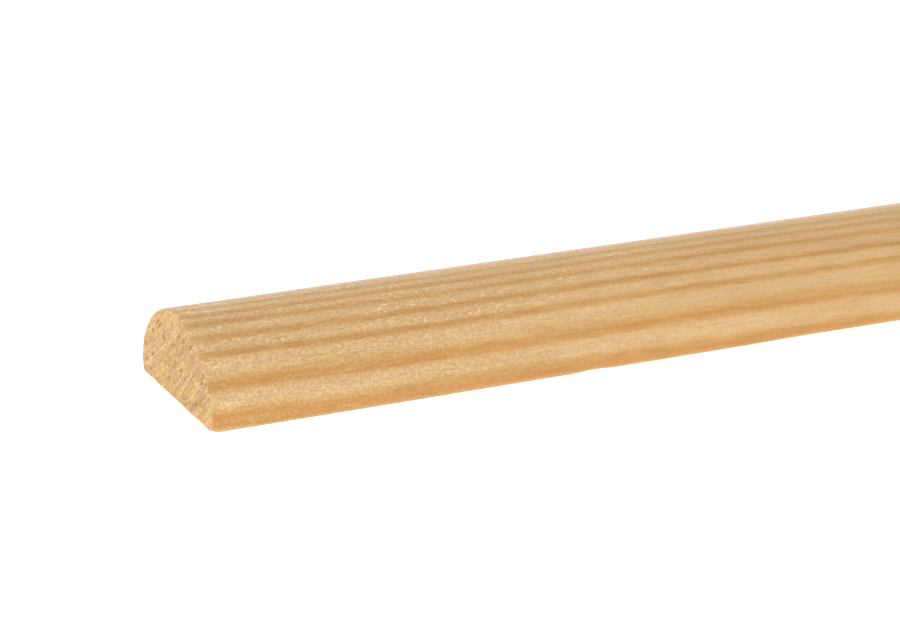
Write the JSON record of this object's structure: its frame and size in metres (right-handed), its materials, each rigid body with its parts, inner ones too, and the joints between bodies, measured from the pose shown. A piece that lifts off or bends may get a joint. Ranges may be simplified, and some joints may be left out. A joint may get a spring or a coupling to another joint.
{
  "type": "half round moulding",
  "caption": "Straight strip of planed softwood trim with a flat back, low upright edges and a domed face, sawn square at both ends, for covering joints and edges.",
  "frame": {"origin": "middle of the flat back, halfway along the length and across the width", "axes": "+X along the moulding, +Y across its width, +Z out of the domed face, away from the flat back"},
  "size_m": [0.9, 0.02, 0.009],
  "materials": {
    "softwood": "bare planed pine, matt, with straight growth rings and sawn end grain"
  },
  "bodies": {
    "root": {"moulding": "softwood"}
  },
  "joints": []
}
